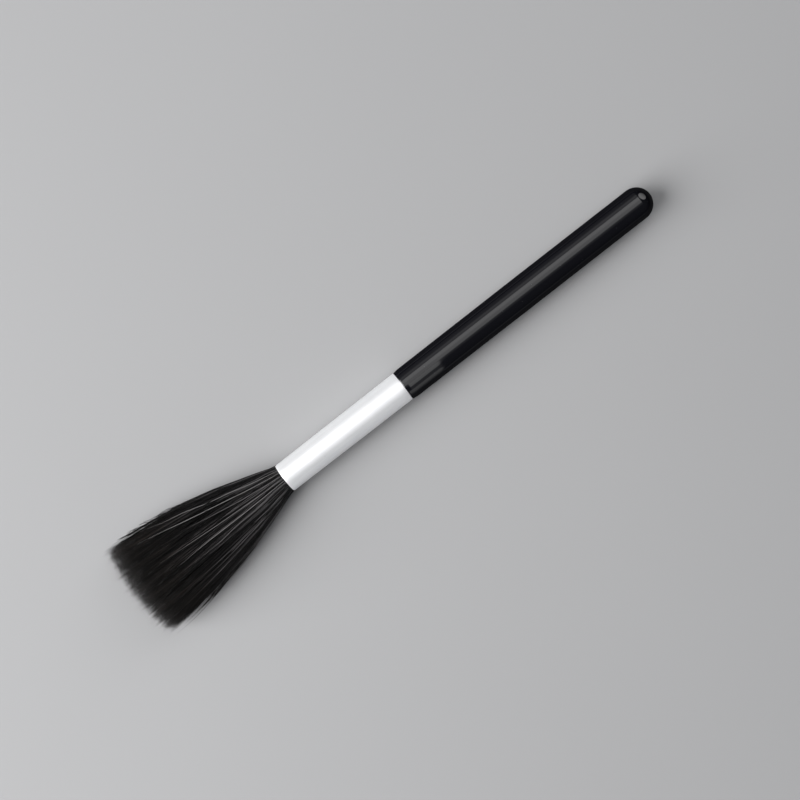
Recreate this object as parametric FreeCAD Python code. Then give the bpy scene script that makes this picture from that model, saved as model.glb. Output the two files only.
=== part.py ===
import FreeCAD, Part
import math
import os

# A neck duster brush that lies on its side. Millimetres, +Z up, floor at z = 0.
# The brush's axis runs along +X, from the round butt of the handle to the ends of the hair.

# Handle: a turned wooden stick under a coat of lacquer.
handle_length = 97.2            # butt to the back rim of the ferrule
handle_radius = 5.3
handle_straight_length = 52.0   # from the butt, before the slight taper
handle_front_radius = 5.2       # where the shoulder starts to round down
shoulder_length = 2.2
shoulder_drop = 0.18            # how far the shoulder rounds down to the ferrule
lacquer_thickness = 0.2
tenon_length = 15.0             # the stick's end inside the ferrule
tenon_chamfer = 0.6
glue_thickness = 0.1
glue_margin = 0.8               # bare tenon at each end of the glue

# Ferrule: a seamless aluminium tube, a little narrower at its mouth.
ferrule_length = 46.0
ferrule_back_radius = 5.0
ferrule_mouth_radius = 4.8
ferrule_wall = 0.35
ferrule_lip_round = 0.12

# Hair inside the ferrule, tied with thread and set in resin.
root_length = 20.0              # mouth to the cut ends of the hair
root_pinch_length = 3.0         # where the bundle narrows towards the thread
root_pinch_radius = 3.7
thread_radius = 0.28
thread_turns = 5
thread_spacing = 0.6
thread_to_resin = 0.4
resin_length = 6.0
resin_cap = 1.5                 # resin behind the ends of the hair

# Hair outside the ferrule: a core with locks around it, flat where it lies on the floor.
hair_length = 56.8
fan_half_width = 15.2
fan_rise = 10.6                 # above the axis
fan_floor_gap = 0.1
fan_full_at = 56.8              # distance from the mouth where the fan is widest
fan_power = 0.92                # below 1, the fan opens sooner at the mouth
fan_drop_at = 14.0              # distance from the mouth where the underside is down
fan_flat_power = 3.2            # 2 is an ellipse, and more is a flatter underside
tip_round = 3.8                 # length of the rounding at each tip
tip_flat_share = 0.4            # width of a tip's blunt end, as a share of the lock's
lock_count = 10
lock_gap = 0.3                  # between neighbouring locks
lock_length_step = 0.7          # the locks differ in length by this, in three steps
core_share = 0.55               # the core's radius, as a share of the fan's
core_gap = 0.3                  # between the core and the locks
core_set_back = 2.4             # the core ends before the longest lock

# Places along the axis, from the middle of the whole length.
butt_x = -(handle_length + ferrule_length + hair_length) / 2
joint_x = butt_x + handle_length
mouth_x = joint_x + ferrule_length
axis_z = handle_radius


def ferrule_outer(x):
    share = (x - joint_x) / ferrule_length
    return ferrule_back_radius + (ferrule_mouth_radius - ferrule_back_radius) * share


def bore(x):
    return ferrule_outer(x) - ferrule_wall


def point(x, radius):
    return FreeCAD.Vector(x, 0, axis_z + radius)


def line(a, b):
    return Part.LineSegment(point(*a), point(*b)).toShape()


def turned(edges):
    # A half outline, closed along the axis or by itself, turned about the axis.
    face = Part.Face(Part.Wire(edges))
    return face.revolve(FreeCAD.Vector(0, 0, axis_z), FreeCAD.Vector(1, 0, 0), 360)


def turned_points(points):
    loop = points + [points[0]]
    return turned([line(a, b) for a, b in zip(loop[:-1], loop[1:])])


def stick(inset):
    # The handle's outside, moved in by inset: round butt, straight grip, taper and shoulder.
    grip = handle_radius - inset
    front = handle_front_radius - inset
    neck = front - shoulder_drop
    centre_x = butt_x + handle_radius
    grip_end_x = butt_x + handle_straight_length
    shoulder_x = joint_x - shoulder_length
    diagonal = grip * math.sqrt(0.5)
    butt = Part.Arc(point(centre_x - grip, 0), point(centre_x - diagonal, diagonal), point(centre_x, grip))
    # The shoulder's rounding leaves the taper smoothly, so three quarters of the drop are in its second half.
    half_way = (shoulder_x + shoulder_length / 2, front - shoulder_drop / 4)
    shoulder = Part.Arc(point(shoulder_x, front), point(*half_way), point(joint_x, neck))
    return turned([
        butt.toShape(),
        line((centre_x, grip), (grip_end_x, grip)),
        line((grip_end_x, grip), (shoulder_x, front)),
        shoulder.toShape(),
        line((joint_x, neck), (joint_x, 0)),
        line((joint_x, 0), (centre_x - grip, 0)),
    ])


def tenon():
    end_x = joint_x + tenon_length
    return turned_points([
        (joint_x, 0),
        (joint_x, bore(joint_x) - glue_thickness),
        (end_x - tenon_chamfer, bore(end_x - tenon_chamfer) - glue_thickness),
        (end_x, bore(end_x) - glue_thickness - tenon_chamfer),
        (end_x, 0),
    ])


def handle_core():
    return stick(lacquer_thickness).fuse(tenon()).removeSplitter()


def handle_lacquer():
    return stick(0).cut(stick(lacquer_thickness))


def tenon_glue():
    start_x = joint_x + glue_margin
    end_x = joint_x + tenon_length - tenon_chamfer - glue_margin
    return turned_points([
        (start_x, bore(start_x) - glue_thickness),
        (start_x, bore(start_x)),
        (end_x, bore(end_x)),
        (end_x, bore(end_x) - glue_thickness),
    ])


def ferrule():
    tube = turned_points([
        (joint_x, bore(joint_x)),
        (joint_x, ferrule_outer(joint_x)),
        (mouth_x, ferrule_outer(mouth_x)),
        (mouth_x, bore(mouth_x)),
    ])
    rims = [e for e in tube.Edges if e.Closed and is_outer_rim(e)]
    return tube.makeFillet(ferrule_lip_round, rims)


def is_outer_rim(edge):
    wall_middle = bore(edge.Curve.Center.x) + ferrule_wall / 2
    return edge.Curve.Radius > wall_middle


# The hair inside the ferrule, from its cut ends forward: set in resin, tied, then filling the bore.
root_end_x = mouth_x - root_length
resin_front_x = root_end_x - resin_cap + resin_length
thread_band_x = resin_front_x + thread_to_resin
thread_band_length = thread_spacing * thread_turns
pinch_end_x = thread_band_x + thread_band_length


def hair_root():
    return turned_points([
        (root_end_x, 0),
        (root_end_x, root_pinch_radius),
        (pinch_end_x, root_pinch_radius),
        (pinch_end_x + root_pinch_length, bore(pinch_end_x + root_pinch_length)),
        (mouth_x, bore(mouth_x)),
        (mouth_x, 0),
    ])


def root_resin():
    back_x = root_end_x - resin_cap
    return turned_points([
        (back_x, 0),
        (back_x, bore(back_x)),
        (resin_front_x, bore(resin_front_x)),
        (resin_front_x, root_pinch_radius),
        (root_end_x, root_pinch_radius),
        (root_end_x, 0),
    ])


def binding_thread():
    # Turns of thread side by side around the pinched bundle.
    turns = []
    for i in range(thread_turns):
        centre = point(thread_band_x + thread_spacing * (i + 0.5), 0)
        along = FreeCAD.Vector(1, 0, 0)
        turns.append(Part.makeTorus(root_pinch_radius + thread_radius, thread_radius, centre, along))
    return Part.makeCompound(turns)


def swell(distance, full_at, power):
    # 0 at the mouth, 1 from full_at on: a quarter of a sine wave.
    share = min(distance / full_at, 1.0)
    return math.sin(share * math.pi / 2) ** power


def fan_radius(angle, distance):
    # The fan's outside around the axis: half an ellipse above, a flatter half below.
    mouth = bore(mouth_x)
    opening = swell(distance, fan_full_at, fan_power)
    width = mouth + (fan_half_width - mouth) * opening
    drop = swell(distance, fan_drop_at, 1.0)
    if math.sin(angle) >= 0:
        height = mouth + (fan_rise - mouth) * opening
        power = 2.0
    else:
        height = mouth + (handle_radius - fan_floor_gap - mouth) * drop
        power = 2.0 + (fan_flat_power - 2.0) * drop
    flat = abs(math.cos(angle) / width) ** power + abs(math.sin(angle) / height) ** power
    return flat ** (-1 / power)


def core_radius(angle, distance):
    return core_share * fan_radius(angle, distance)


def stations(length):
    # Distances from the mouth, each with the section's size: 1, then less round the blunt tip.
    straight = length - tip_round
    body_count = 8
    tip_count = 3
    last_turn = math.acos(tip_flat_share)
    found = [(straight * i / body_count, 1.0) for i in range(body_count)]
    for i in range(tip_count + 1):
        turn = last_turn * i / tip_count
        found.append((straight + tip_round * math.sin(turn) / math.sin(last_turn), math.cos(turn)))
    return found


def at(distance, angle, radius):
    return FreeCAD.Vector(mouth_x + distance, radius * math.cos(angle), axis_z + radius * math.sin(angle))


def closed_in(points, share):
    middle = FreeCAD.Vector()
    for p in points:
        middle += p / len(points)
    return [middle + (p - middle) * share for p in points]


def curve(points):
    spline = Part.BSplineCurve()
    spline.interpolate(points)
    return spline.toShape()


def straight_loft(sections):
    # Straight from section to section, so that uneven spacing can't make the surface swing.
    return Part.makeLoft(sections, True, True)


def hair_core():
    # Closed sections around the axis, each an even ring of points.
    ring_count = 24
    sections = []
    for distance, share in stations(hair_length - core_set_back):
        angles = [2 * math.pi * i / ring_count for i in range(ring_count)]
        ring = closed_in([at(distance, a, core_radius(a, distance)) for a in angles], share)
        spline = Part.BSplineCurve()
        spline.interpolate(ring, PeriodicFlag=True)
        sections.append(Part.Wire(spline.toShape()))
    return straight_loft(sections)


def lock_angle(index):
    # The middle of each lock, counted from straight up.
    return math.pi / 2 + 2 * math.pi * index / lock_count


def side_angle(index, side, radius):
    # A lock's side lies in a plane, half a gap in from the radial plane between two locks.
    half = math.pi / lock_count - math.asin(lock_gap / 2 / radius)
    return lock_angle(index) + side * half


def arc_points(index, distance, radius_at):
    # Points along a lock's inner or outer face, from one side plane to the other.
    span_count = 4
    ends = []
    for side in (-1, 1):
        edge_angle = lock_angle(index) + side * math.pi / lock_count
        ends.append(side_angle(index, side, radius_at(edge_angle, distance)))
    first, last = ends
    angles = [first + (last - first) * i / span_count for i in range(span_count + 1)]
    return [at(distance, a, radius_at(a, distance)) for a in angles]


def lock_inner(angle, distance):
    return core_radius(angle, distance) + core_gap


def lock_section(index, distance, share):
    outer = arc_points(index, distance, fan_radius)
    inner = arc_points(index, distance, lock_inner)
    inner.reverse()
    points = closed_in(outer + inner, share)
    outer = points[:len(outer)]
    inner = points[len(outer):]
    return Part.Wire([
        curve(outer),
        Part.LineSegment(outer[-1], inner[0]).toShape(),
        curve(inner),
        Part.LineSegment(inner[-1], outer[0]).toShape(),
    ])


def hair_lock(index):
    # Locks that mirror each other across the upright plane are equally long.
    from_top = min(index, lock_count - index)
    length = hair_length - lock_length_step * (from_top % 3)
    sections = [lock_section(index, distance, share) for distance, share in stations(length)]
    return straight_loft(sections)


def save(shape, name):
    print(name, "valid", shape.isValid(), "solids", len(shape.Solids), "volume", round(shape.Volume, 2))
    shape.exportStep("parts/" + name + ".step")


os.makedirs("parts", exist_ok=True)
save(handle_core(), "handle_core")
save(handle_lacquer(), "handle_lacquer")
save(tenon_glue(), "tenon_glue")
save(ferrule(), "ferrule")
save(hair_root(), "hair_root")
save(root_resin(), "root_resin")
save(binding_thread(), "binding_thread")
save(hair_core(), "hair_core")
for lock in range(lock_count):
    save(hair_lock(lock), "hair_lock_%02d" % (lock + 1))
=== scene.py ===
import bpy
import math
import numpy as np
from mathutils import Matrix, Vector


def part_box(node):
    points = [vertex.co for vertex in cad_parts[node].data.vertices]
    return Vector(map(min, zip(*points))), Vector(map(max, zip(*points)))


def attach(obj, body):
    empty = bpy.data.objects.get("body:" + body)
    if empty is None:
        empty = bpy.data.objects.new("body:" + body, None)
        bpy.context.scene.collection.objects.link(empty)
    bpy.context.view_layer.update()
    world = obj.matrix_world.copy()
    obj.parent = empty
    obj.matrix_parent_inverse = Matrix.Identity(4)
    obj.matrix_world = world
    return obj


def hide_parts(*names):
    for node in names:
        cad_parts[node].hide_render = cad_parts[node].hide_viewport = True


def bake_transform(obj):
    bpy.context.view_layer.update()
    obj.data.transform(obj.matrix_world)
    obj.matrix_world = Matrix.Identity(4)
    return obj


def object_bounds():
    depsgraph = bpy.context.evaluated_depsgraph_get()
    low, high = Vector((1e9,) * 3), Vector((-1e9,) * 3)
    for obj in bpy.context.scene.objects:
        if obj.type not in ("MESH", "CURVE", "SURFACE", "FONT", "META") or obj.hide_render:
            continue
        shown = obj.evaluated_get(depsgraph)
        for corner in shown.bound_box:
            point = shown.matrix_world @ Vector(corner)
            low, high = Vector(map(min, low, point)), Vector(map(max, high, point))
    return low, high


# A neck duster brush lying on its side: lacquered handle, aluminium ferrule, a head of dark hair.
# The brush's axis runs along +X, from the handle's butt to the ends of the hair. Metres.

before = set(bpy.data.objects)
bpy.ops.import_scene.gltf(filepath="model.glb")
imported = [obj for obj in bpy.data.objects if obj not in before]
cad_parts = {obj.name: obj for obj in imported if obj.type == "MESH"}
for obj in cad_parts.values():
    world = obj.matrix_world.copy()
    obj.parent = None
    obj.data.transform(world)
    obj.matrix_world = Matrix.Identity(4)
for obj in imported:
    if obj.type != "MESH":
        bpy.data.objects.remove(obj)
cadLow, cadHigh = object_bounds()

millimetre = 0.001
lacquerLow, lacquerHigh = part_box("handle_lacquer")
ferruleLow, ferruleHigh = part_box("ferrule")
axisZ = (lacquerLow[2] + lacquerHigh[2]) / 2
buttX = lacquerLow[0]
jointX = ferruleLow[0]
mouthX = ferruleHigh[0]
handleRadius = (lacquerHigh[2] - lacquerLow[2]) / 2
ferruleRadius = (ferruleHigh[2] - ferruleLow[2]) / 2
lockNodes = sorted(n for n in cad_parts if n.startswith("hair_lock"))
lockCount = len(lockNodes)
print("frame loaded,", len(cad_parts), "nodes,", lockCount, "locks of hair")


def makeObject(name, mesh):
    piece = bpy.data.objects.new(name, mesh)
    bpy.context.scene.collection.objects.link(piece)
    return piece


def meshFrom(name, points, quads, triangles):
    # points (n, 3); quads (q, 4) and triangles (t, 3) are rows of vertex numbers.
    mesh = bpy.data.meshes.new(name)
    corners = np.concatenate([quads.ravel(), triangles.ravel()]).astype(np.int32)
    sizes = np.concatenate([np.full(len(quads), 4), np.full(len(triangles), 3)]).astype(np.int32)
    starts = np.concatenate([[0], np.cumsum(sizes)[:-1]]).astype(np.int32)
    mesh.vertices.add(len(points))
    mesh.vertices.foreach_set("co", points.astype(np.float32).ravel())
    mesh.loops.add(len(corners))
    mesh.loops.foreach_set("vertex_index", corners)
    mesh.polygons.add(len(sizes))
    mesh.polygons.foreach_set("loop_start", starts)
    mesh.polygons.foreach_set("use_smooth", np.ones(len(sizes), dtype=bool))
    mesh.update(calc_edges=True)
    mesh.validate()
    return mesh


def addNumbers(mesh, name, values):
    layer = mesh.attributes.new(name, "FLOAT", "POINT")
    layer.data.foreach_set("value", values.astype(np.float32).ravel())


def turnedPiece(name, profile, segments):
    # A closed outline of (x, radius) rows carried round the brush's axis:
    # y = radius cos(turn), z = axis + radius sin(turn). The outline runs forward outside, back inside.
    outline = np.array(profile, dtype=float)
    rows = len(outline)
    turn = np.linspace(0, 2 * np.pi, segments, endpoint=False)
    x = np.repeat(outline[:, 0], segments)
    y = np.outer(outline[:, 1], np.cos(turn)).ravel()
    z = np.outer(outline[:, 1], np.sin(turn)).ravel() + axisZ
    row, column = np.meshgrid(np.arange(rows), np.arange(segments), indexing="ij")
    nextRow = (row + 1) % rows
    nextColumn = (column + 1) % segments
    quads = np.stack([
        row * segments + column,
        row * segments + nextColumn,
        nextRow * segments + nextColumn,
        nextRow * segments + column,
    ], axis=-1).reshape(-1, 4)
    mesh = meshFrom(name, np.stack([x, y, z], axis=-1), quads, np.zeros((0, 3), dtype=int))
    return makeObject(name, mesh)


def addNode(tree, kind, settings=None, inputs=None):
    node = tree.nodes.new(kind)
    for key, value in (settings or {}).items():
        setattr(node, key, value)
    for key, value in (inputs or {}).items():
        if isinstance(value, bpy.types.NodeSocket):
            tree.links.new(value, node.inputs[key])
        else:
            node.inputs[key].default_value = value
    return node


def newGroup(name, inputs, outputs):
    # A node group with named sockets: (name, socket type, default value).
    group = bpy.data.node_groups.new(name, "ShaderNodeTree")
    for label, kind, default in inputs:
        socket = group.interface.new_socket(name=label, in_out="INPUT", socket_type=kind)
        if default is not None:
            socket.default_value = default
    for label, kind in outputs:
        group.interface.new_socket(name=label, in_out="OUTPUT", socket_type=kind)
    return group, group.nodes.new("NodeGroupInput"), group.nodes.new("NodeGroupOutput")


def useGroup(tree, group, inputs):
    node = tree.nodes.new("ShaderNodeGroup")
    node.node_tree = group
    for key, value in inputs.items():
        if isinstance(value, bpy.types.NodeSocket):
            tree.links.new(value, node.inputs[key])
        else:
            node.inputs[key].default_value = value
    return node


def makeDrawnLines():
    # Noise stretched along the brush's axis: streaks as in wood grain, drawn tube or fine scratches.
    group, inside, outside = newGroup(
        "drawnLines",
        [("Coordinate", "NodeSocketVector", None), ("Along", "NodeSocketFloat", 40.0),
         ("Across", "NodeSocketFloat", 2000.0), ("Sharpness", "NodeSocketFloat", 1.0)],
        [("Lines", "NodeSocketFloat")])
    stretch = addNode(group, "ShaderNodeCombineXYZ", None, {
        "X": inside.outputs["Along"], "Y": inside.outputs["Across"], "Z": inside.outputs["Across"]})
    place = addNode(group, "ShaderNodeVectorMath", {"operation": "MULTIPLY"}, {
        0: inside.outputs["Coordinate"], 1: stretch.outputs[0]})
    noise = addNode(group, "ShaderNodeTexNoise", None, {
        "Vector": place.outputs[0], "Scale": 1.0, "Detail": 3.0, "Roughness": 0.6})
    power = addNode(group, "ShaderNodeMath", {"operation": "POWER"}, {
        0: noise.outputs["Fac"], 1: inside.outputs["Sharpness"]})
    group.links.new(power.outputs[0], outside.inputs["Lines"])
    return group


def makeFineDust():
    # Small round specks: cells of a Voronoi pattern, kept where the cell is near its own point
    # and its own random value is high.
    group, inside, outside = newGroup(
        "fineDust",
        [("Coordinate", "NodeSocketVector", None), ("Cells", "NodeSocketFloat", 600.0),
         ("Size", "NodeSocketFloat", 0.2), ("Share", "NodeSocketFloat", 0.1)],
        [("Specks", "NodeSocketFloat")])
    cells = addNode(group, "ShaderNodeTexVoronoi", None, {
        "Vector": inside.outputs["Coordinate"], "Scale": inside.outputs["Cells"]})
    near = addNode(group, "ShaderNodeMath", {"operation": "LESS_THAN"}, {
        0: cells.outputs["Distance"], 1: inside.outputs["Size"]})
    split = addNode(group, "ShaderNodeSeparateColor", None, {"Color": cells.outputs["Color"]})
    picked = addNode(group, "ShaderNodeMath", {"operation": "LESS_THAN"}, {
        0: split.outputs[0], 1: inside.outputs["Share"]})
    both = addNode(group, "ShaderNodeMath", {"operation": "MULTIPLY"}, {
        0: near.outputs[0], 1: picked.outputs[0]})
    group.links.new(both.outputs[0], outside.inputs["Specks"])
    return group


drawnLines = makeDrawnLines()
fineDust = makeFineDust()


def newMaterial(name):
    material = bpy.data.materials.new(name)
    material.use_nodes = True
    tree = material.node_tree
    shader = next(n for n in tree.nodes if n.type == "BSDF_PRINCIPLED")
    coordinate = tree.nodes.new("ShaderNodeTexCoord").outputs["Object"]
    return material, tree, shader, coordinate


def spread(tree, value, low, high):
    # Maps 0..1 to low..high.
    return addNode(tree, "ShaderNodeMapRange", None, {
        "Value": value, "To Min": low, "To Max": high}).outputs[0]


def rampUp(tree, value, low, high, start=0.0, end=1.0):
    # A smooth step: start where value is low, end where it is high.
    return addNode(tree, "ShaderNodeMapRange", {"interpolation_type": "SMOOTHSTEP"}, {
        "Value": value, "From Min": low, "From Max": high, "To Min": start, "To Max": end}).outputs[0]


def multiply(tree, first, second):
    return addNode(tree, "ShaderNodeMath", {"operation": "MULTIPLY"}, {0: first, 1: second}).outputs[0]


def streaks(tree, coordinate, grain):
    # Drawn lines from (along, across, sharpness).
    return useGroup(tree, drawnLines, {
        "Coordinate": coordinate, "Along": grain[0], "Across": grain[1], "Sharpness": grain[2]}).outputs[0]


def specksOf(tree, coordinate, dust):
    # Fine dust from (cells, size, share).
    return useGroup(tree, fineDust, {
        "Coordinate": coordinate, "Cells": dust[0], "Size": dust[1], "Share": dust[2]}).outputs[0]


def mixColours(tree, factor, first, second):
    node = addNode(tree, "ShaderNodeMix", {"data_type": "RGBA"}, {0: factor, 6: first, 7: second})
    return node.outputs[2]


def bump(tree, shader, height, strength, distance):
    node = addNode(tree, "ShaderNodeBump", None, {
        "Height": height, "Strength": strength, "Distance": distance})
    tree.links.new(node.outputs["Normal"], shader.inputs["Normal"])


lacquerLook = {
    "colour": (0.0022, 0.0022, 0.0036, 1),
    "dustColour": (0.07, 0.07, 0.075, 1),
    "dust": (1500.0, 0.10, 0.03),
    "scratches": (90.0, 1500.0, 2.0),
    "roughness": (0.10, 0.22),
    "coat": 1.0,
    "rimCoat": 0.08,                    # the gloss fades where the surface turns away
    "fadeFacing": (0.13, 0.42),         # from here to here: 0 faces the eye, 1 is edge-on
    "coatRoughness": 0.035,
    "coatIor": 1.7,
    "peelScale": 420.0,
    "peelStrength": 0.25,
    "peelDepth": 0.00002,
}


def blackLacquer():
    look = lacquerLook
    material, tree, shader, coordinate = newMaterial("blackLacquer")
    scratches = streaks(tree, coordinate, look["scratches"])
    specks = specksOf(tree, coordinate, look["dust"])
    colour = mixColours(tree, specks, look["colour"], look["dustColour"])
    tree.links.new(colour, shader.inputs["Base Color"])
    tree.links.new(spread(tree, scratches, *look["roughness"]), shader.inputs["Roughness"])
    peel = addNode(tree, "ShaderNodeTexNoise", None, {
        "Vector": coordinate, "Scale": look["peelScale"], "Detail": 1.0}).outputs["Fac"]
    bump(tree, shader, peel, look["peelStrength"], look["peelDepth"])
    shader.inputs["Specular IOR Level"].default_value = 0.0
    facing = addNode(tree, "ShaderNodeLayerWeight", None, {"Blend": 0.5}).outputs["Facing"]
    gloss = rampUp(tree, facing, *look["fadeFacing"], look["coat"], look["rimCoat"])
    tree.links.new(gloss, shader.inputs["Coat Weight"])
    shader.inputs["Coat Roughness"].default_value = look["coatRoughness"]
    shader.inputs["Coat IOR"].default_value = look["coatIor"]
    return material


ferruleLook = {
    "colour": (0.965, 0.97, 0.98, 1),
    "dullColour": (0.85, 0.86, 0.88, 1),
    "scuffColour": (0.55, 0.55, 0.57, 1),
    "scuffs": (1100.0, 0.15, 0.015),
    "lines": (60.0, 5200.0, 1.0),
    "lineShare": (-0.6, 1.2),           # of the dull colour, from the lines
    "patchScale": 120.0,
    "patchShare": (-0.6, 0.6),          # and from soft patches
    "lineStrength": 0.5,
    "lineDepth": 0.00001,
    "roughness": (0.36, 0.54),
    "metallic": 0.60,
}


def satinAluminium():
    look = ferruleLook
    material, tree, shader, coordinate = newMaterial("satinAluminium")
    lines = streaks(tree, coordinate, look["lines"])
    patches = addNode(tree, "ShaderNodeTexNoise", None, {
        "Vector": coordinate, "Scale": look["patchScale"], "Detail": 3.0}).outputs["Fac"]
    specks = specksOf(tree, coordinate, look["scuffs"])
    drawn = addNode(tree, "ShaderNodeMath", {"operation": "ADD"}, {
        0: spread(tree, patches, *look["patchShare"]), 1: spread(tree, lines, *look["lineShare"])}).outputs[0]
    dull = mixColours(tree, drawn, look["colour"], look["dullColour"])
    colour = mixColours(tree, specks, dull, look["scuffColour"])
    tree.links.new(colour, shader.inputs["Base Color"])
    tree.links.new(spread(tree, lines, *look["roughness"]), shader.inputs["Roughness"])
    bump(tree, shader, lines, look["lineStrength"], look["lineDepth"])
    shader.inputs["Metallic"].default_value = look["metallic"]
    return material


hairLook = {
    # The root and middle colours are lighter than the hair is: painted sheen. The tip colour is the hair's
    # own dark brown.
    "sheenRootColour": (0.0222, 0.0212, 0.0217, 1),
    "sheenMiddleColour": (0.0130, 0.0122, 0.0125, 1),
    "tipColour": (0.0047, 0.0038, 0.0034, 1),
    "greyColour": (0.32, 0.31, 0.31, 1),
    "middleSpan": (0.0, 0.40),          # shares of the length over which root turns to middle
    "tipSpan": (0.40, 0.78),            # and middle to tip
    "contrast": 165.0,                  # the palest strand against the darkest
    "fadeSpan": (0.72, 0.95),           # where the contrast and the grey fade
    "tipContrast": 0.55,                # what is left of them at the ends
    "tipGrey": 0.15,
    "greyFrom": 0.955,                  # tones above this turn grey
    "roughness": (0.36, 0.62),          # at the root and at the tip
    "specular": 0.18,
    "packedLines": (50.0, 5000.0, 1.5),
}


def darkHair():
    # along runs from 0 at the ferrule's mouth to 1 at the ends of the hair. tone is one number a
    # strand: 0 is the darkest, 0.5 the plain colour, 0.95 the palest dark strand, 1 a grey one.
    # colour = plain colour * contrast ^ (tone - 0.5), and the contrast fades towards the ends.
    # The plain colour is lighter at the root and middle by painted sheen; the dark brown of the tips is the
    # hair's own colour.
    look = hairLook
    material, tree, shader, coordinate = newMaterial("darkHair")
    tone = addNode(tree, "ShaderNodeAttribute", {"attribute_name": "tone"}).outputs["Fac"]
    along = addNode(tree, "ShaderNodeAttribute", {"attribute_name": "along"}).outputs["Fac"]
    early = rampUp(tree, along, *look["middleSpan"])
    late = rampUp(tree, along, *look["tipSpan"])
    fade = rampUp(tree, along, *look["fadeSpan"])
    plain = mixColours(tree, early, look["sheenRootColour"], look["sheenMiddleColour"])
    plain = mixColours(tree, late, plain, look["tipColour"])
    centred = addNode(tree, "ShaderNodeMath", {"operation": "SUBTRACT"}, {0: tone, 1: 0.5}).outputs[0]
    calmed = multiply(tree, centred, spread(tree, fade, 1.0, look["tipContrast"]))
    strength = addNode(tree, "ShaderNodeMath", {"operation": "POWER"}, {
        0: look["contrast"], 1: calmed}).outputs[0]
    strand = addNode(tree, "ShaderNodeVectorMath", {"operation": "SCALE"}, {
        0: plain, "Scale": strength}).outputs[0]
    greyness = addNode(tree, "ShaderNodeMapRange", None, {
        "Value": tone, "From Min": look["greyFrom"], "From Max": 1.0}).outputs[0]
    kept = multiply(tree, greyness, spread(tree, fade, 1.0, look["tipGrey"]))
    tree.links.new(mixColours(tree, kept, strand, look["greyColour"]), shader.inputs["Base Color"])
    tree.links.new(spread(tree, late, *look["roughness"]), shader.inputs["Roughness"])
    shader.inputs["Specular IOR Level"].default_value = look["specular"]
    return material


def packedHair():
    # The bundle inside the ferrule: streaks along the axis, from the tip colour to the root colour,
    # which carries painted sheen.
    material, tree, shader, coordinate = newMaterial("packedHair")
    lines = streaks(tree, coordinate, hairLook["packedLines"])
    colour = mixColours(tree, lines, hairLook["tipColour"], hairLook["sheenRootColour"])
    tree.links.new(colour, shader.inputs["Base Color"])
    bump(tree, shader, lines, 0.6, 0.00006)
    shader.inputs["Roughness"].default_value = 0.6
    return material


def turnedWood():
    material, tree, shader, coordinate = newMaterial("turnedWood")
    grain = streaks(tree, coordinate, (30.0, 900.0, 1.6))
    colour = mixColours(tree, grain, (0.74, 0.56, 0.36, 1), (0.42, 0.27, 0.14, 1))
    tree.links.new(colour, shader.inputs["Base Color"])
    bump(tree, shader, grain, 0.4, 0.00005)
    shader.inputs["Roughness"].default_value = 0.62
    return material


def mottled(name, light, dark, scale, roughness):
    # A cast or smeared material: two close colours in soft patches.
    material, tree, shader, coordinate = newMaterial(name)
    patches = addNode(tree, "ShaderNodeTexNoise", None, {
        "Vector": coordinate, "Scale": scale, "Detail": 4.0}).outputs["Fac"]
    tree.links.new(mixColours(tree, patches, light, dark), shader.inputs["Base Color"])
    bump(tree, shader, patches, 0.3, 0.00004)
    shader.inputs["Roughness"].default_value = roughness
    return material


def twistedThread():
    material, tree, shader, coordinate = newMaterial("twistedThread")
    twist = addNode(tree, "ShaderNodeTexWave", {"bands_direction": "DIAGONAL"}, {
        "Vector": coordinate, "Scale": 1600.0, "Distortion": 1.5}).outputs["Fac"]
    tree.links.new(mixColours(tree, twist, (0.84, 0.81, 0.74, 1), (0.58, 0.55, 0.48, 1)),
                   shader.inputs["Base Color"])
    bump(tree, shader, twist, 0.6, 0.00005)
    shader.inputs["Roughness"].default_value = 0.85
    return material


hairMaterial = darkHair()
print("materials made")


def finishNode(node, material):
    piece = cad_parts[node]
    piece.data.materials.clear()
    piece.data.materials.append(material)


finishNode("handle_core", turnedWood())
finishNode("tenon_glue", mottled("driedGlue", (0.80, 0.72, 0.52, 1), (0.66, 0.56, 0.36, 1), 900.0, 0.35))
finishNode("root_resin", mottled("castResin", (0.58, 0.36, 0.12, 1), (0.40, 0.22, 0.06, 1), 500.0, 0.15))
finishNode("binding_thread", twistedThread())
finishNode("hair_root", packedHair())


handleCoat = {
    "straight": 52.0 * millimetre,      # butt to the start of the taper
    "frontRadius": 5.2 * millimetre,
    "shoulder": 2.8 * millimetre,
    "drop": 0.34 * millimetre,
    "dropPower": 2.5,
    "thickness": 0.2 * millimetre,
    "segments": 180,
}


def handleOutline(inset):
    # Quarter circle at the butt, straight grip, taper, then a shoulder that drops as a power of its share.
    radius = handleRadius - inset
    front = handleCoat["frontRadius"] - inset
    sweep = np.linspace(0, np.pi / 2, 25)
    butt = np.stack([buttX + handleRadius - radius * np.cos(sweep), radius * np.sin(sweep)], axis=-1)
    gripEnd = buttX + handleCoat["straight"]
    shoulderX = jointX - handleCoat["shoulder"]
    grip = np.stack([np.linspace(butt[-1, 0], gripEnd, 13)[1:], np.full(12, radius)], axis=-1)
    taper = np.stack([np.linspace(gripEnd, shoulderX, 13)[1:], np.linspace(radius, front, 13)[1:]], axis=-1)
    share = np.linspace(0, 1, 11)[1:]
    shoulder = np.stack([
        shoulderX + handleCoat["shoulder"] * share,
        front - handleCoat["drop"] * share ** handleCoat["dropPower"],
    ], axis=-1)
    return np.concatenate([butt, grip, taper, shoulder])


def makeHandle():
    outer = handleOutline(0.0)
    inner = handleOutline(handleCoat["thickness"])[::-1]
    outer[0, 1] = inner[-1, 1] = 0.000001    # the poles are pin pricks
    piece = turnedPiece("lacquered_handle", np.concatenate([outer, inner]), handleCoat["segments"])
    piece.data.materials.append(blackLacquer())
    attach(piece, "brush")
    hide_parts("handle_lacquer")


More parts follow.
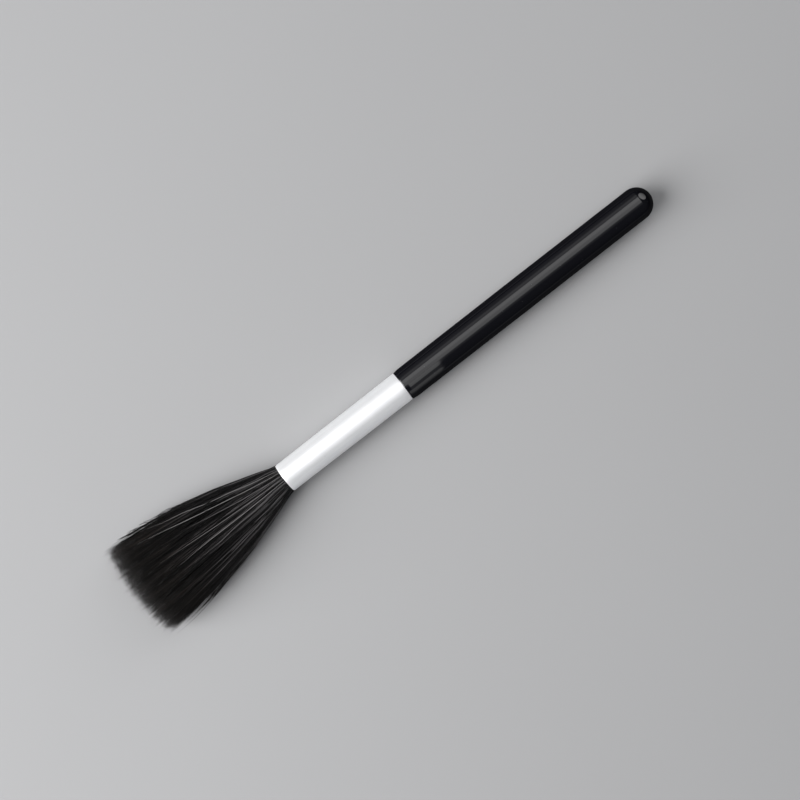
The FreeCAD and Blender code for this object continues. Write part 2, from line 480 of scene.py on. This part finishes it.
ferruleTube = {
    "mouthRadius": 4.8 * millimetre,
    "wall": 0.35 * millimetre,
    "lip": 0.14 * millimetre,
    "innerEdge": 0.05 * millimetre,     # bevel inside the mouth
    "segments": 180,
}


def ferruleOutline():
    # A tapered tube: its outside, a rounded lip, its bore, and the rounded back rim.
    lip = ferruleTube["lip"]
    edge = ferruleTube["innerEdge"]
    share = np.linspace(0, 1, 25)
    x = jointX + lip + (mouthX - jointX - 2 * lip) * share
    outside = ferruleRadius + (ferruleTube["mouthRadius"] - ferruleRadius) * share
    inside = outside - ferruleTube["wall"]
    turn = np.linspace(0, np.pi / 2, 6)[1:]
    front = np.stack([x[-1] + lip * np.sin(turn), outside[-1] - lip * (1 - np.cos(turn))], axis=-1)
    frontInner = np.array([[mouthX, inside[-1] + edge], [mouthX - edge, inside[-1]]])
    back = np.stack([x[0] - lip * np.cos(turn), outside[0] - lip * (1 - np.sin(turn))], axis=-1)
    backInner = np.array([[jointX, inside[0]]])
    return np.concatenate([
        np.stack([x, outside], axis=-1), front, frontInner,
        np.stack([x, inside], axis=-1)[::-1][1:], backInner, back[:-1],
    ])


def makeFerrule():
    piece = turnedPiece("aluminium_ferrule", ferruleOutline(), ferruleTube["segments"])
    piece.data.materials.append(satinAluminium())
    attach(piece, "brush")
    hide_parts("ferrule")


makeHandle()
makeFerrule()
print("handle and ferrule made")


headShape = {
    "mouthRadius": 4.45 * millimetre,
    "halfWidth": 16.6 * millimetre,
    "rise": 10.6 * millimetre,          # above the axis
    "drop": axisZ - 0.12 * millimetre,  # below it
    "length": cadHigh[0] - mouthX,
    "openPower": 0.88,                  # below 1, the head opens sooner at the mouth
    "straightShare": 0.25,              # the rest of the opening is a quarter wave
    "dropAt": 14.0 * millimetre,
    "flatPower": 3.2,
    "tipRound": 1.9 * millimetre,       # the outermost hairs end this far behind the middle ones
    "tipSkew": 0.2,                     # more so on the +Y side
}


def headRadius(angle, distance):
    # The head's outside round the axis: half an ellipse above, a flatter half below.
    # Its width opens from the mouth to the tips as a straight line mixed with a quarter of a sine wave.
    mouth = headShape["mouthRadius"]
    reach = np.clip(distance, 0, None)
    gone = np.minimum(reach / headShape["length"], 1)
    wave = np.sin(gone * np.pi / 2) ** headShape["openPower"]
    opening = wave + (gone - wave) * headShape["straightShare"]
    lowering = np.sin(np.minimum(reach / headShape["dropAt"], 1) * np.pi / 2)
    width = mouth + (headShape["halfWidth"] - mouth) * opening
    above = np.sin(angle) >= 0
    height = np.where(above, mouth + (headShape["rise"] - mouth) * opening,
                      mouth + (headShape["drop"] - mouth) * lowering)
    power = np.where(above, 2.0, 2 + (headShape["flatPower"] - 2) * lowering)
    across = (np.abs(np.cos(angle)) / width) ** power
    upright = (np.abs(np.sin(angle)) / height) ** power
    return (across + upright) ** (-1 / power)


def ease(value, low, high):
    share = np.clip((value - low) / (high - low), 0, 1)
    return share * share * (3 - 2 * share)


strandStyle = {
    "rootDepth": 2.5 * millimetre,      # how far the strands start inside the ferrule
    "wave": 0.26 * millimetre,
    "drift": 0.9 * millimetre,          # how far a wisp's root strays from the place its tip has
    "ownDrift": 0.25 * millimetre,      # and each hair's within it
    "fray": 0.24 * millimetre,          # sideways scatter of the last few millimetres
    "tuftSize": 1.6 * millimetre,       # spacing of the tufts that strands gather into
    "tuftPull": 0.40,
    "wispSize": 0.45 * millimetre,      # and of the fine wisps inside them
    "wispPull": 0.62,
    "wispLength": 0.70 * millimetre,    # wisps end at slightly different places
    "tipScatter": 0.9 * millimetre,
    "sink": 0.06,                       # wisps lie up to this share of the radius below the others
    "longShare": 0.08,                  # hairs that stand out of the ends
    "longBy": 2.2 * millimetre,
    "shortShare": 0.26,
    "shortBy": 14.0 * millimetre,
    "overlap": 0.03,                    # neighbouring locks share this much of their angles
    "ownWave": 0.4,                     # a hair's own waves against those of its wisp
    "looseEnds": 0.8,                   # how far the tufts open again at the ends
    "tone": 0.53,
    # Painted shade for wisps that lie below the others:
    "sinkShadeTone": 2.5,                    # tone lost for each unit of sink
    "hairTones": 0.10,                  # scatter of the tone: of hairs, wisps and tufts
    "wispTones": 0.18,
    "tuftTones": 0.05,
    "palest": 0.95,                     # of the dark strands
    "outside": (0.965, 0.18),           # outermost share at the mouth, and how much it grows
}

# The layers of a bundle: (inner share, outer share, strands for each square millimetre of the
# head's end, segments along a strand, radius).
strandLayers = {
    "middle": [(0.0, 0.57, 9, 5, 0.10 * millimetre)],
    "lock": [
        (0.57, 0.84, 22, 7, 0.060 * millimetre),
        (0.84, 0.970, 66, 13, 0.046 * millimetre),
    ],
}


def tipPlace(angle, share):
    # A point on the flat end of the head, from its angle and its share of the radius.
    reach = headRadius(angle, headShape["length"]) * share
    return np.stack([reach * np.cos(angle), reach * np.sin(angle)], axis=-1)


def scatterTips(dice, count, angleSpan, shareSpan):
    # Evenly over a wedge of the head's end: angles are denser where the head reaches further out.
    angles = np.linspace(*angleSpan, 181)
    weight = headRadius(angles, headShape["length"]) ** 2
    total = np.concatenate([[0], np.cumsum((weight[1:] + weight[:-1]) / 2)])
    angle = np.interp(dice.random(count) * total[-1], total, angles)
    low, high = shareSpan
    share = np.sqrt(dice.uniform(low ** 2, high ** 2, count))
    return tipPlace(angle, share)


def wedgeArea(angleSpan, shareSpan):
    angles = np.linspace(*angleSpan, 61)
    low, high = shareSpan
    mean = (headRadius(angles, headShape["length"]) ** 2).mean() / 2
    return mean * (angleSpan[1] - angleSpan[0]) * (high ** 2 - low ** 2)


def gather(dice, place, spacing, angleSpan, shareSpan):
    # Picks tuft centres about this far apart, and gives each strand the way to its nearest one.
    count = max(2, int(wedgeArea(angleSpan, shareSpan) / spacing ** 2))
    centres = scatterTips(dice, count, angleSpan, shareSpan)
    nearest = np.argmin(((place[:, None] - centres[None]) ** 2).sum(axis=-1), axis=1)
    return centres[nearest] - place, nearest, count


def pathDistance(length, along):
    # Distances from the mouth of the rings along each strand.
    return -strandStyle["rootDepth"] + along * (length + strandStyle["rootDepth"])[:, None]


def laidStrands(place, distance, sideways, lift):
    # Turns places on the head's end into paths: at each distance from the mouth a strand keeps
    # its angle and its share of the head's radius there. sideways (count, rings, 2) is added
    # at the end's scale, so it shrinks towards the root. lift (count, rings) raises or sinks strands.
    spot = place[:, None] + sideways
    angle = np.arctan2(spot[..., 1], spot[..., 0])
    share = np.hypot(spot[..., 0], spot[..., 1]) / headRadius(angle, headShape["length"])
    low, growth = strandStyle["outside"]
    most = low + growth * ease(distance, 6 * millimetre, 50 * millimetre)
    radius = headRadius(angle, distance) * (np.minimum(share, most) + lift)
    return radius * np.cos(angle), radius * np.sin(angle)


def looseWaves(dice, count, along):
    # A slow wave and a quicker small one in each direction.
    waves = np.zeros((count, along.shape[1], 2))
    for axis in range(2):
        for size, slow, quick in ((1.0, 0.4, 1.1), (0.35, 1.6, 3.2)):
            height = dice.normal(0, strandStyle["wave"] * size, count)[:, None]
            turns = dice.uniform(slow, quick, count)[:, None]
            phase = dice.uniform(0, 2 * np.pi, count)[:, None]
            waves[..., axis] += height * np.sin(2 * np.pi * turns * along + phase)
    return waves


def strandPrisms(dice, distance, y, z, along, tone, thickness, tipLoss=0.88):
    # Three-sided tubes: a ring of three points round each path point, in the plane across the axis.
    # The strand swells from its root, then loses the share tipLoss of its thickness to a fine tip.
    count, rings = distance.shape
    taper = (0.70 + 0.30 * ease(along, 0, 0.3)) * (1 - tipLoss * ease(along, 0.62, 1.0))
    thick = (thickness[:, None] * taper)[..., None]
    spin = dice.uniform(0, 2 * np.pi, count)[:, None, None] + np.arange(3)[None, None] * 2 * np.pi / 3
    x = np.repeat((mouthX + distance)[..., None], 3, axis=2)
    ringY = y[..., None] + thick * np.cos(spin)
    floorGap = 0.02 * millimetre
    ringZ = np.maximum(axisZ + z[..., None], thick + floorGap) + thick * np.sin(spin)
    points = np.stack([x, ringY, ringZ], axis=-1).reshape(-1, 3)

    strand, ring, side = np.meshgrid(np.arange(count), np.arange(rings - 1), np.arange(3), indexing="ij")
    here = (strand * rings + ring) * 3
    after = here + 3
    nextSide = (side + 1) % 3
    quads = np.stack([here + side, here + nextSide, after + nextSide, after + side], axis=-1).reshape(-1, 4)
    first = np.arange(count)[:, None] * rings * 3
    last = first + (rings - 1) * 3
    ends = np.concatenate([first + [[2, 1, 0]], last + [[0, 1, 2]]])
    tones = np.repeat(tone, rings * 3)
    alongs = np.repeat(np.clip(distance / headShape["length"], 0, 1).ravel(), 3)
    return points, quads, ends, tones, alongs


def strandLayer(dice, angleSpan, layer):
    low, high, density, segments, thickness = layer
    style = strandStyle
    angleSpan = (angleSpan[0] - style["overlap"], angleSpan[1] + style["overlap"])
    count = int(wedgeArea(angleSpan, (low, high)) / millimetre ** 2 * density)
    place = scatterTips(dice, count, angleSpan, (low, high))
    toTuft, tuft, tufts = gather(dice, place, style["tuftSize"], angleSpan, (low, high))
    toWisp, wisp, wisps = gather(dice, place, style["wispSize"], angleSpan, (low, high))

    along = np.linspace(0, 1, segments + 1)[None]
    loosen = 1 - style["looseEnds"] * ease(along, 0.70, 1.0)
    tuftPull = style["tuftPull"] * dice.uniform(0.3, 1.3, tufts)[tuft][:, None]
    tuftPull = tuftPull * ease(along, 0.0, 0.55) * loosen
    wispPull = style["wispPull"] * dice.uniform(0.2, 1.3, wisps)[wisp][:, None] * ease(along, 0.1, 0.6)
    sideways = looseWaves(dice, wisps, along)[wisp] + style["ownWave"] * looseWaves(dice, count, along)
    sideways += toTuft[:, None] * tuftPull[..., None] + toWisp[:, None] * wispPull[..., None]
    drift = dice.normal(0, style["drift"], (wisps, 1, 2))[wisp]
    drift = drift + dice.normal(0, style["ownDrift"], (count, 1, 2))
    sideways += drift * (1 - ease(along, 0, 0.8))[..., None]
    sideways += dice.normal(0, style["fray"], (count, 1, 2)) * ease(along, 0.7, 1.0)[..., None]

    share = np.hypot(place[:, 0], place[:, 1])
    share = share / headRadius(np.arctan2(place[:, 1], place[:, 0]), headShape["length"])
    skew = 1 + headShape["tipSkew"] * place[:, 0] / headShape["halfWidth"]
    length = headShape["length"] - headShape["tipRound"] * skew * share ** 4
    length -= np.abs(dice.normal(0, style["tipScatter"], count))
    isShort = dice.random(count) < style["shortShare"]
    length -= np.where(isShort, dice.random(count) ** 1.5 * style["shortBy"], 0)
    isLong = dice.random(count) < style["longShare"]
    length += np.where(isLong, dice.random(count) * style["longBy"], 0)
    length += dice.normal(0, style["wispLength"], wisps)[wisp]

    # Sunken wisps get painted shade: their tone is darker the deeper they lie.
    sink = dice.uniform(0, style["sink"], wisps)[wisp]
    tone = style["tone"] - style["sinkShadeTone"] * sink + dice.normal(0, style["hairTones"], count)
    tone += dice.normal(0, style["wispTones"], wisps)[wisp] + dice.normal(0, style["tuftTones"], tufts)[tuft]
    thick = thickness * dice.uniform(0.75, 1.25, count)
    distance = pathDistance(length, along)
    lift = -sink[:, None] * ease(distance, -1 * millimetre, 6 * millimetre)
    y, z = laidStrands(place, distance, sideways, lift)
    return strandPrisms(dice, distance, y, z, along, np.clip(tone, 0, style["palest"]), thick)


surfaceWisps = {
    "count": 32,                        # on each lock
    "hairs": 2,                         # in each wisp
    "width": 0.05 * millimetre,         # their scatter about the wisp's middle
    "radius": (0.050 * millimetre, 0.090 * millimetre),
    "reach": (14 * millimetre, 56 * millimetre),
    "rootFrom": (-10 * millimetre, 20 * millimetre),    # where it comes to the surface
    "surfacing": 5 * millimetre,        # and the length over which it does
    "lift": 0.03,
    "waves": (1.2, 0.3),                # of the wisp and of each hair
    # Dark wisps are painted shade for the gaps between wisps; pale wisps are lighter hairs with painted
    # sheen.
    "gapShadeShare": 0.42,
    "gapShadeTones": (0.0, 0.2),
    "plainTones": (0.38, 0.62),
    "paleSheenShare": 0.32,
    "paleSheenTones": (0.80, 0.95),
    "hairTones": 0.04,
}


def wispLayer(dice, angleSpan):
    # A few hairs that lie together on the head's outside: dark ones are painted shade that reads as
    # the gaps between wisps, pale ones are lighter hairs with painted sheen that read as lit streaks.
    style = surfaceWisps
    wisps = style["count"]
    count = wisps * style["hairs"]
    wisp = np.repeat(np.arange(wisps), style["hairs"])
    middle = scatterTips(dice, wisps, angleSpan, (0.96, 1.0))[wisp]
    place = middle + dice.normal(0, style["width"], (count, 2))
    along = np.linspace(0, 1, 25)[None]
    wispWave, ownWave = style["waves"]
    sideways = wispWave * looseWaves(dice, wisps, along)[wisp] + ownWave * looseWaves(dice, count, along)
    length = dice.uniform(*style["reach"], wisps)[wisp] + dice.normal(0, 2 * millimetre, count)
    draw = dice.random(wisps)
    tone = dice.uniform(*style["plainTones"], wisps)
    tone = np.where(draw < style["gapShadeShare"], dice.uniform(*style["gapShadeTones"], wisps), tone)
    tone = np.where(draw > 1 - style["paleSheenShare"], dice.uniform(*style["paleSheenTones"], wisps), tone)
    tone = np.clip(tone[wisp] + dice.normal(0, style["hairTones"], count), 0, strandStyle["palest"])
    start = dice.uniform(*style["rootFrom"], wisps)[wisp][:, None]
    distance = pathDistance(length, along)
    lift = style["lift"] * (2 * ease(distance, start, start + style["surfacing"]) - 1)
    y, z = laidStrands(place, distance, sideways, lift)
    return strandPrisms(dice, distance, y, z, along, tone, dice.uniform(*style["radius"], count))


strayHairs = {
    "count": 26,                        # small feathers on each lock
    "hairs": 5,                         # in each feather
    "width": 0.055 * millimetre,        # their scatter about the feather's middle
    "place": 0.97,                      # share of the head's radius
    "rise": (0.0, 0.07),                # the share that the ends stand off
    "ownRise": 0.004,
    "peel": 5 * millimetre,             # the length that stands off
    "radius": (0.070 * millimetre, 0.110 * millimetre),
    "reach": (0.22, 0.90),              # shares of the head's length
    "waves": (1.2, 0.4),                # of the feather and of each hair
    "tones": (0.05, 0.5),
    "hairTones": 0.05,
    "tipLoss": 0.5,
}


def strayLayer(dice, angleSpan):
    # Loose ends that peel off the head's outside.
    style = strayHairs
    feathers = style["count"]
    count = feathers * style["hairs"]
    feather = np.repeat(np.arange(feathers), style["hairs"])
    angle = dice.uniform(*angleSpan, feathers)
    place = tipPlace(angle, np.full(feathers, style["place"]))[feather]
    place = place + dice.normal(0, style["width"], (count, 2))
    along = np.linspace(0, 1, 25)[None] ** 0.7    # rings lie closer towards the ends
    rise = dice.uniform(*style["rise"], feathers)[feather] + dice.normal(0, style["ownRise"], count)
    length = headShape["length"] * dice.uniform(*style["reach"], feathers)[feather]
    length += dice.normal(0, 1 * millimetre, count)
    distance = pathDistance(length, along)
    featherWave, ownWave = style["waves"]
    sideways = featherWave * looseWaves(dice, feathers, along)[feather]
    sideways = sideways + ownWave * looseWaves(dice, count, along)
    end = length[:, None]
    y, z = laidStrands(place, distance, sideways, rise[:, None] * ease(distance, end - style["peel"], end))
    tone = dice.uniform(*style["tones"], feathers)[feather] + dice.normal(0, style["hairTones"], count)
    tone = np.clip(tone, 0, strandStyle["palest"])
    radius = dice.uniform(*style["radius"], count)
    return strandPrisms(dice, distance, y, z, along, tone, radius, style["tipLoss"])


# Pale hairs on top of the head: millimetres across the axis at the mouth and at the end, their
# reach from the mouth, and how pale they are.
paleHairs = [
    (-2.1, -10.9, 46, 1.00),
    (-2.9, -13.2, 44, 0.972),
    (-1.0, -6.4, 34, 0.95),
    (0.4, 1.2, 40, 0.982),
    (1.1, 3.4, 36, 0.965),
    (2.0, 8.8, 31, 0.972),
    (3.6, 11.2, 27, 0.965),
    (3.9, 13.1, 38, 0.978),
    (-0.2, -2.6, 44, 0.968),
    (2.9, 6.3, 22, 0.965),
    (4.3, 11.3, 26, 0.975),
]
paleStyle = {
    "place": 0.985,                     # share of the head's radius
    "lift": 0.07,
    "wave": 0.8,
    "radius": 0.085 * millimetre,
}


def angleAcross(across, distance):
    # The angle on the head's top at which its surface lies this far across the axis.
    angles = np.linspace(np.pi - 0.02, 0.02, 400)
    return float(np.interp(across, headRadius(angles, distance) * np.cos(angles), angles))


def paleLayer(dice, angleSpan):
    layers = []
    for start, end, reach, tone in paleHairs:
        first = angleAcross(start * millimetre, 0)
        last = angleAcross(end * millimetre, reach * millimetre)
        if not angleSpan[0] <= (first + last) / 2 < angleSpan[1]:
            continue
        along = np.linspace(0, 1, 25)[None]
        angle = first + (last - first) * along[0]
        spots = tipPlace(angle, np.full(len(angle), paleStyle["place"]))[None]
        sideways = spots - spots[:, :1] + looseWaves(dice, 1, along) * paleStyle["wave"]
        distance = pathDistance(np.array([reach * millimetre]), along)
        y, z = laidStrands(spots[:, 0], distance, sideways, paleStyle["lift"])
        radius = np.array([paleStyle["radius"]])
        layers.append(strandPrisms(dice, distance, y, z, along, np.array([tone]), radius))
    return layers


def joinLayers(name, layers):
    points, quads, ends, tones, alongs = [], [], [], [], []
    base = 0
    for layer in layers:
        points.append(layer[0])
        quads.append(layer[1] + base)
        ends.append(layer[2] + base)
        tones.append(layer[3])
        alongs.append(layer[4])
        base += len(layer[0])
    mesh = meshFrom(name, np.concatenate(points), np.concatenate(quads), np.concatenate(ends))
    addNumbers(mesh, "tone", np.concatenate(tones))
    addNumbers(mesh, "along", np.concatenate(alongs))
    mesh.materials.append(hairMaterial)
    print(name, len(mesh.polygons) * 2, "triangles at most")
    return makeObject(name, mesh)


def makeMiddle():
    dice = np.random.default_rng(101)
    wholeTurn = (0, 2 * np.pi)
    layers = [strandLayer(dice, wholeTurn, layer) for layer in strandLayers["middle"]]
    piece = joinLayers("hair_middle", layers)
    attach(piece, "brush")
    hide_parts("hair_core")


def makeTress(index, node):
    # A tress fills the angles of its lock: the first one is at the top.
    dice = np.random.default_rng(201 + index)
    middle = np.pi / 2 + 2 * np.pi * index / lockCount
    angleSpan = (middle - np.pi / lockCount, middle + np.pi / lockCount)
    layers = [strandLayer(dice, angleSpan, layer) for layer in strandLayers["lock"]]
    layers.append(wispLayer(dice, angleSpan))
    layers.append(strayLayer(dice, angleSpan))
    layers += paleLayer(dice, angleSpan)
    piece = joinLayers("hair_tress_%02d" % (index + 1), layers)
    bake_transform(piece)
    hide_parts(node)


makeMiddle()
for index, node in enumerate(lockNodes):
    makeTress(index, node)
print("hair made")


studio = {
    "floorColour": (0.35, 0.35, 0.355, 1),
    "floorCloud": (0.34, 0.34, 0.345, 1),
    "floorRoughness": 0.9,
    "floorSpecular": 0.12,
    "floorSize": 4.0,
    "worldColour": (0.86, 0.90, 1.0, 1),
    "worldStrength": 0.06,
    "lampDistance": 0.80,
}

# Lamps in an arc round the brush's axis: (angle from, angle to, x from, x to, brightness).
# Angles in degrees from straight up, towards -Y.
lampStrips = {
    "ceilingEdge": (-24, -11, -0.47, 0.35, 0.15),
    "ceilingNear": (-11, 10, -0.47, 0.35, 0.94),
    "ceilingFar": (10, 33, -0.47, 0.35, 1.27),
    "sideHigh": (36, 54, -0.47, 0.35, 0.38),
    "sideLow": (54, 80, -0.47, 0.35, 0.10),
    "headCard": (-38, -12, -0.075, 0.12, 0.85),
    "fillCard": (-60, -39, -0.075, 0.12, 0.16),
    "lowCard": (-88, -61, -0.075, 0.30, 0.55),
}
# Round windows off to both ends: (place, diameter, brightness).
windows = {
    "headWindow": ((0.92, -0.28, 0.60), 1.10, 9.0),
    "buttWindow": ((-0.98, -0.30, 0.60), 0.90, 1.6),
}


def makeFloor():
    half = studio["floorSize"] / 2
    mesh = bpy.data.meshes.new("floor")
    corners = [(-half, -half, 0), (half, -half, 0), (half, half, 0), (-half, half, 0)]
    mesh.from_pydata(corners, [], [(0, 1, 2, 3)])
    floor = makeObject("floor", mesh)
    material, tree, shader, coordinate = newMaterial("paleFloor")
    cloud = addNode(tree, "ShaderNodeTexNoise", None, {"Vector": coordinate, "Scale": 6.0, "Detail": 2.0})
    shade = mixColours(tree, cloud.outputs["Fac"], studio["floorColour"], studio["floorCloud"])
    tree.links.new(shade, shader.inputs["Base Color"])
    shader.inputs["Roughness"].default_value = studio["floorRoughness"]
    shader.inputs["Specular IOR Level"].default_value = studio["floorSpecular"]
    mesh.materials.append(material)


def softBox(name, place, shape, size, area, radiance):
    # A flat lamp whose face has this brightness: power = brightness * pi * area.
    data = bpy.data.lights.new(name, "AREA")
    data.shape = shape
    data.size, data.size_y = size
    data.energy = radiance * math.pi * area
    lamp = makeObject(name, data)
    lamp.location = place
    return lamp


def lampStrip(name, angles, reach, radiance):
    middle = math.radians(sum(angles) / 2)
    half = math.radians(angles[1] - angles[0]) / 2
    distance = studio["lampDistance"]
    place = (sum(reach) / 2, -distance * math.sin(middle), distance * math.cos(middle))
    size = (reach[1] - reach[0], 2 * distance * math.tan(half))
    lamp = softBox(name, place, "RECTANGLE", size, size[0] * size[1], radiance)
    lamp.rotation_euler = (middle, 0, 0)


def window(name, place, diameter, radiance):
    lamp = softBox(name, place, "DISK", (diameter, diameter), math.pi * diameter ** 2 / 4, radiance)
    lamp.rotation_mode = "QUATERNION"
    lamp.rotation_quaternion = Vector(place).to_track_quat("Z", "Y")


def makeLights():
    for name, (low, high, start, end, radiance) in lampStrips.items():
        lampStrip(name, (low, high), (start, end), radiance)
    for name, (place, diameter, radiance) in windows.items():
        window(name, place, diameter, radiance)
    world = bpy.data.worlds.new("studio")
    bpy.context.scene.world = world
    world.use_nodes = True
    background = next(n for n in world.node_tree.nodes if n.type == "BACKGROUND")
    background.inputs["Color"].default_value = studio["worldColour"]
    background.inputs["Strength"].default_value = studio["worldStrength"]


cameraPlace = {
    "height": 0.360,                    # above the brush's axis
    "over": (0.0120, 0.0009),           # the point straight below the camera
    "lookAt": (0.0005, 0.0028),
    "rightWays": (-0.7887, 0.6147, 0),  # the view's right-hand direction
    "lens": 52.6,
}


def makeCamera():
    data = bpy.data.cameras.new("camera")
    data.lens = cameraPlace["lens"]
    data.sensor_width = 36.0
    data.clip_start = 0.01
    camera = makeObject("camera", data)
    place = Vector((*cameraPlace["over"], axisZ + cameraPlace["height"]))
    back = (place - Vector((*cameraPlace["lookAt"], axisZ))).normalized()
    up = back.cross(Vector(cameraPlace["rightWays"])).normalized()
    right = up.cross(back)
    camera.rotation_mode = "QUATERNION"
    camera.rotation_quaternion = Matrix((right, up, back)).transposed().to_quaternion()
    camera.location = place
    bpy.context.scene.camera = camera


makeFloor()
makeLights()
makeCamera()
bpy.context.scene.view_settings.view_transform = "Standard"
print("floor, lights and camera made")
